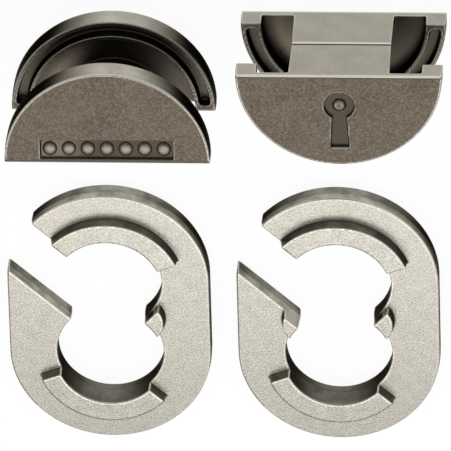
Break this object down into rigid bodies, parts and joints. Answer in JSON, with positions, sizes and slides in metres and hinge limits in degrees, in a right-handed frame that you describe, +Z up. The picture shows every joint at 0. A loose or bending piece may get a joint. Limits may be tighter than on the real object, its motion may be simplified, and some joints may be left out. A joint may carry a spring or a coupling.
{
  "type": "disc padlock",
  "caption": "Round disc padlock laid out in its separate castings: half-disc bodies with a split hub, and C-shaped links with overlapping eyes.",
  "frame": {"origin": "bottom centre of the laid-out set, on the surface that it lies on", "axes": "+Z up, out of the front faces; +Y from the links to the half discs; +X to the right as the front faces are read"},
  "size_m": [0.0984, 0.1078, 0.0274],
  "materials": {
    "disc_metal": "antique plated zinc casting, dark brown-grey, satin, slightly speckled",
    "link_metal": "tumbled zinc casting, light warm silver-grey, satin",
    "dowel_metal": "ground steel"
  },
  "bodies": {
    "lower_half": {"lower_rear_casting": "disc_metal", "lower_front_casting": "disc_metal", "lower_dowel_1": "dowel_metal", "lower_dowel_2": "dowel_metal"},
    "upper_half": {"upper_rear_casting": "disc_metal", "upper_front_casting": "disc_metal", "upper_dowel_1": "dowel_metal", "upper_dowel_2": "dowel_metal"},
    "left_link": {"left_shackle_link": "link_metal"},
    "right_link": {"right_shackle_link": "link_metal"}
  },
  "joints": [
    {"name": "upper_half_slide", "type": "slide", "parent": "lower_half", "child": "upper_half", "axis": [-1, 0, 0], "range_m": [0, 0.045]},
    {"name": "left_link_turn", "type": "hinge", "parent": "lower_half", "child": "left_link", "pos_m": [-0.02675, -0.0314, 0], "axis": [0, 0, 1], "range_deg": [0, 137]},
    {"name": "right_link_turn", "type": "hinge", "parent": "lower_half", "child": "right_link", "pos_m": [0.02415, -0.0314, 0], "axis": [0, 0, 1], "range_deg": [-137, 0]}
  ]
}
